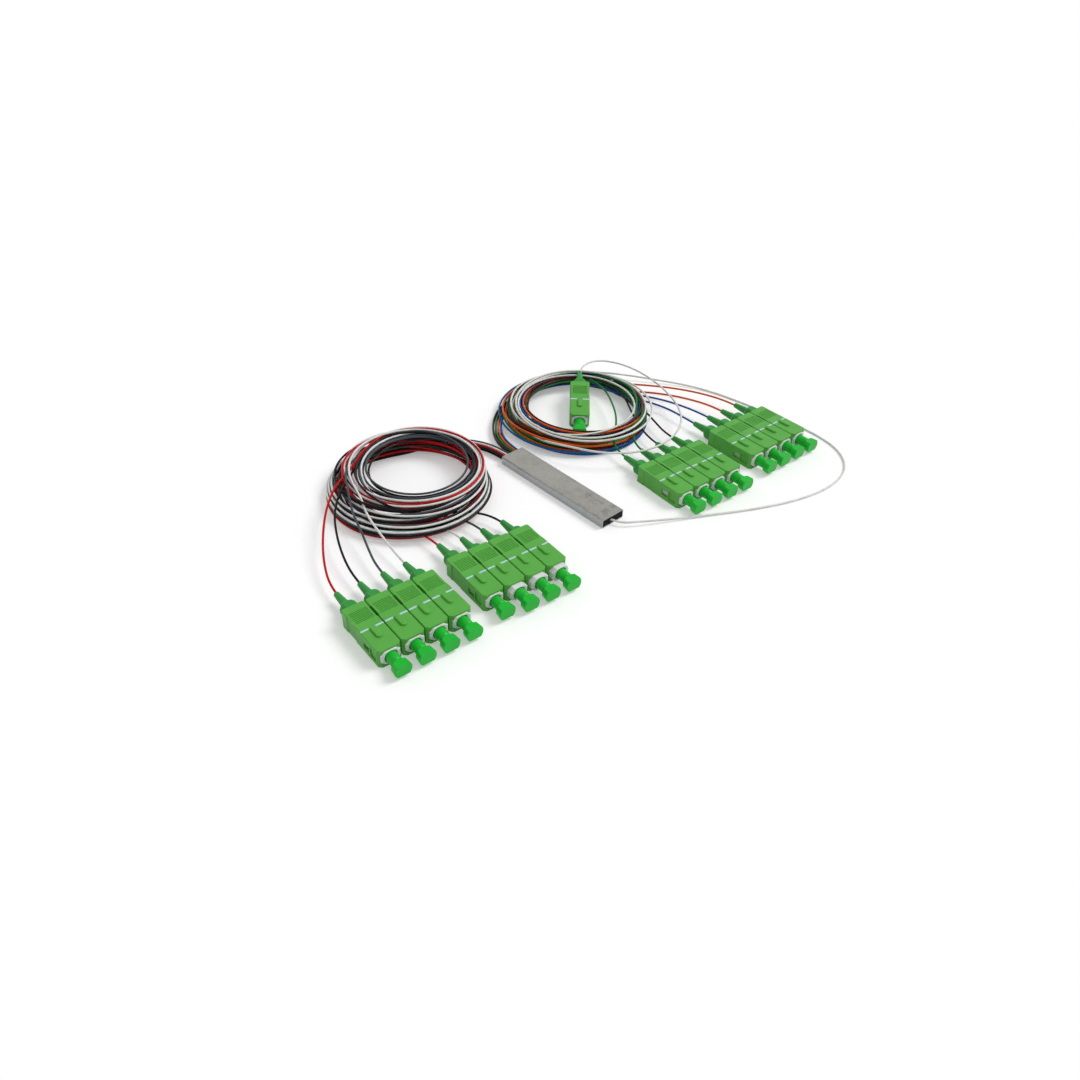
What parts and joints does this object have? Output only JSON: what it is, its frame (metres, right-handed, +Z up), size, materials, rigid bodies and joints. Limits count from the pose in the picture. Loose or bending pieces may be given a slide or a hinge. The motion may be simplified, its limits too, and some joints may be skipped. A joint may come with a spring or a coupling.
{
  "type": "fibre optic splitter",
  "caption": "Optical fibre splitter: flat steel tube with loose coloured fibres wound in two coils, each ending in a green capped plug.",
  "frame": {"origin": "middle of the underside of the steel tube", "axes": "+X along the tube towards its input end, +Z up from the surface it lies on"},
  "size_m": [0.1473, 0.2341, 0.0122],
  "materials": {
    "steel": "mill",
    "black_plug": "matte",
    "silica": "polished",
    "frame_white": "moulded",
    "ceramic": "polished",
    "grip_green": "moulded",
    "boot_green": "matte",
    "cap_green": "moulded",
    "tube_blue": "satin",
    "tube_orange": "satin",
    "tube_green": "satin",
    "tube_brown": "satin",
    "tube_slate": "satin",
    "tube_white": "satin",
    "tube_red": "satin",
    "tube_black": "satin",
    "tube_natural": "satin"
  },
  "bodies": {
    "splitter": {"housing_tube": "steel", "output_end_plug": "black_plug", "input_end_plug": "black_plug", "splitter_chip": "silica", "plug_frames": "frame_white", "ferrules": "ceramic", "boots": "boot_green", "coil_left": "tube_red", "coil_right": "tube_blue", "fibre_01": "tube_blue", "fibre_02": "tube_orange", "fibre_03": "tube_green", "fibre_04": "tube_brown", "fibre_05": "tube_slate", "fibre_06": "tube_white", "fibre_07": "tube_red", "fibre_08": "tube_black", "fibre_09": "tube_blue", "fibre_10": "tube_orange", "fibre_11": "tube_green", "fibre_12": "tube_brown", "fibre_13": "tube_slate", "fibre_14": "tube_white", "fibre_15": "tube_red", "fibre_16": "tube_black", "fibre_input": "tube_natural"},
    "grip_01": {"grip_01": "grip_green"},
    "cap_01": {"dust_cap_01": "cap_green"},
    "grip_02": {"grip_02": "grip_green"},
    "cap_02": {"dust_cap_02": "cap_green"},
    "grip_03": {"grip_03": "grip_green"},
    "cap_03": {"dust_cap_03": "cap_green"},
    "grip_04": {"grip_04": "grip_green"},
    "cap_04": {"dust_cap_04": "cap_green"},
    "grip_05": {"grip_05": "grip_green"},
    "cap_05": {"dust_cap_05": "cap_green"},
    "grip_06": {"grip_06": "grip_green"},
    "cap_06": {"dust_cap_06": "cap_green"},
    "grip_07": {"grip_07": "grip_green"},
    "cap_07": {"dust_cap_07": "cap_green"},
    "grip_08": {"grip_08": "grip_green"},
    "cap_08": {"dust_cap_08": "cap_green"},
    "grip_09": {"grip_09": "grip_green"},
    "cap_09": {"dust_cap_09": "cap_green"},
    "grip_10": {"grip_10": "grip_green"},
    "cap_10": {"dust_cap_10": "cap_green"},
    "grip_11": {"grip_11": "grip_green"},
    "cap_11": {"dust_cap_11": "cap_green"},
    "grip_12": {"grip_12": "grip_green"},
    "cap_12": {"dust_cap_12": "cap_green"},
    "grip_13": {"grip_13": "grip_green"},
    "cap_13": {"dust_cap_13": "cap_green"},
    "grip_14": {"grip_14": "grip_green"},
    "cap_14": {"dust_cap_14": "cap_green"},
    "grip_15": {"grip_15": "grip_green"},
    "cap_15": {"dust_cap_15": "cap_green"},
    "grip_16": {"grip_16": "grip_green"},
    "cap_16": {"dust_cap_16": "cap_green"},
    "grip_input": {"grip_input": "grip_green"},
    "cap_input": {"dust_cap_input": "cap_green"}
  },
  "joints": [
    {"name": "grip_slide_01", "type": "slide", "parent": "splitter", "child": "grip_01", "axis": [0.9982, -0.0593, 0], "range_m": [-0.0016, 0]},
    {"name": "cap_slide_01", "type": "slide", "parent": "splitter", "child": "cap_01", "axis": [0.9982, -0.0593, 0], "range_m": [0, 0.007]},
    {"name": "grip_slide_02", "type": "slide", "parent": "splitter", "child": "grip_02", "axis": [0.9982, -0.0593, 0], "range_m": [-0.0016, 0]},
    {"name": "cap_slide_02", "type": "slide", "parent": "splitter", "child": "cap_02", "axis": [0.9982, -0.0593, 0], "range_m": [0, 0.007]},
    {"name": "grip_slide_03", "type": "slide", "parent": "splitter", "child": "grip_03", "axis": [0.9957, -0.0924, 0], "range_m": [-0.0016, 0]},
    {"name": "cap_slide_03", "type": "slide", "parent": "splitter", "child": "cap_03", "axis": [0.9957, -0.0924, 0], "range_m": [0, 0.007]},
    {"name": "grip_slide_04", "type": "slide", "parent": "splitter", "child": "grip_04", "axis": [0.9957, -0.0924, 0], "range_m": [-0.0016, 0]},
    {"name": "cap_slide_04", "type": "slide", "parent": "splitter", "child": "cap_04", "axis": [0.9957, -0.0924, 0], "range_m": [0, 0.007]},
    {"name": "grip_slide_05", "type": "slide", "parent": "splitter", "child": "grip_05", "axis": [0.9963, -0.0854, 0], "range_m": [-0.0016, 0]},
    {"name": "cap_slide_05", "type": "slide", "parent": "splitter", "child": "cap_05", "axis": [0.9963, -0.0854, 0], "range_m": [0, 0.007]},
    {"name": "grip_slide_06", "type": "slide", "parent": "splitter", "child": "grip_06", "axis": [0.9963, -0.0854, 0], "range_m": [-0.0016, 0]},
    {"name": "cap_slide_06", "type": "slide", "parent": "splitter", "child": "cap_06", "axis": [0.9963, -0.0854, 0], "range_m": [0, 0.007]},
    {"name": "grip_slide_07", "type": "slide", "parent": "splitter", "child": "grip_07", "axis": [0.9963, -0.0854, 0], "range_m": [-0.0016, 0]},
    {"name": "cap_slide_07", "type": "slide", "parent": "splitter", "child": "cap_07", "axis": [0.9963, -0.0854, 0], "range_m": [0, 0.007]},
    {"name": "grip_slide_08", "type": "slide", "parent": "splitter", "child": "grip_08", "axis": [0.9963, -0.0854, 0], "range_m": [-0.0016, 0]},
    {"name": "cap_slide_08", "type": "slide", "parent": "splitter", "child": "cap_08", "axis": [0.9963, -0.0854, 0], "range_m": [0, 0.007]},
    {"name": "grip_slide_09", "type": "slide", "parent": "splitter", "child": "grip_09", "axis": [0.9982, -0.0593, 0], "range_m": [-0.0016, 0]},
    {"name": "cap_slide_09", "type": "slide", "parent": "splitter", "child": "cap_09", "axis": [0.9982, -0.0593, 0], "range_m": [0, 0.007]},
    {"name": "grip_slide_10", "type": "slide", "parent": "splitter", "child": "grip_10", "axis": [0.9982, -0.0593, 0], "range_m": [-0.0016, 0]},
    {"name": "cap_slide_10", "type": "slide", "parent": "splitter", "child": "cap_10", "axis": [0.9982, -0.0593, 0], "range_m": [0, 0.007]},
    {"name": "grip_slide_11", "type": "slide", "parent": "splitter", "child": "grip_11", "axis": [0.9957, -0.0924, 0], "range_m": [-0.0016, 0]},
    {"name": "cap_slide_11", "type": "slide", "parent": "splitter", "child": "cap_11", "axis": [0.9957, -0.0924, 0], "range_m": [0, 0.007]},
    {"name": "grip_slide_12", "type": "slide", "parent": "splitter", "child": "grip_12", "axis": [0.9957, -0.0924, 0], "range_m": [-0.0016, 0]},
    {"name": "cap_slide_12", "type": "slide", "parent": "splitter", "child": "cap_12", "axis": [0.9957, -0.0924, 0], "range_m": [0, 0.007]},
    {"name": "grip_slide_13", "type": "slide", "parent": "splitter", "child": "grip_13", "axis": [0.9943, -0.1063, 0], "range_m": [0, 0.0016]},
    {"name": "cap_slide_13", "type": "slide", "parent": "splitter", "child": "cap_13", "axis": [0.9943, -0.1063, 0], "range_m": [0, 0.007]},
    {"name": "grip_slide_14", "type": "slide", "parent": "splitter", "child": "grip_14", "axis": [0.9943, -0.1063, 0], "range_m": [0, 0.0016]},
    {"name": "cap_slide_14", "type": "slide", "parent": "splitter", "child": "cap_14", "axis": [0.9943, -0.1063, 0], "range_m": [0, 0.007]},
    {"name": "grip_slide_15", "type": "slide", "parent": "splitter", "child": "grip_15", "axis": [0.9943, -0.1063, 0], "range_m": [-0.0016, 0]},
    {"name": "cap_slide_15", "type": "slide", "parent": "splitter", "child": "cap_15", "axis": [0.9943, -0.1063, 0], "range_m": [0, 0.007]},
    {"name": "grip_slide_16", "type": "slide", "parent": "splitter", "child": "grip_16", "axis": [0.9943, -0.1063, 0], "range_m": [0, 0.0016]},
    {"name": "cap_slide_16", "type": "slide", "parent": "splitter", "child": "cap_16", "axis": [0.9943, -0.1063, 0], "range_m": [0, 0.007]},
    {"name": "grip_slide_input", "type": "slide", "parent": "splitter", "child": "grip_input", "axis": [0.706, -0.6938, -0.1418], "range_m": [-0.0016, 0]},
    {"name": "cap_slide_input", "type": "slide", "parent": "splitter", "child": "cap_input", "axis": [0.706, -0.6938, -0.1418], "range_m": [0, 0.007]}
  ]
}
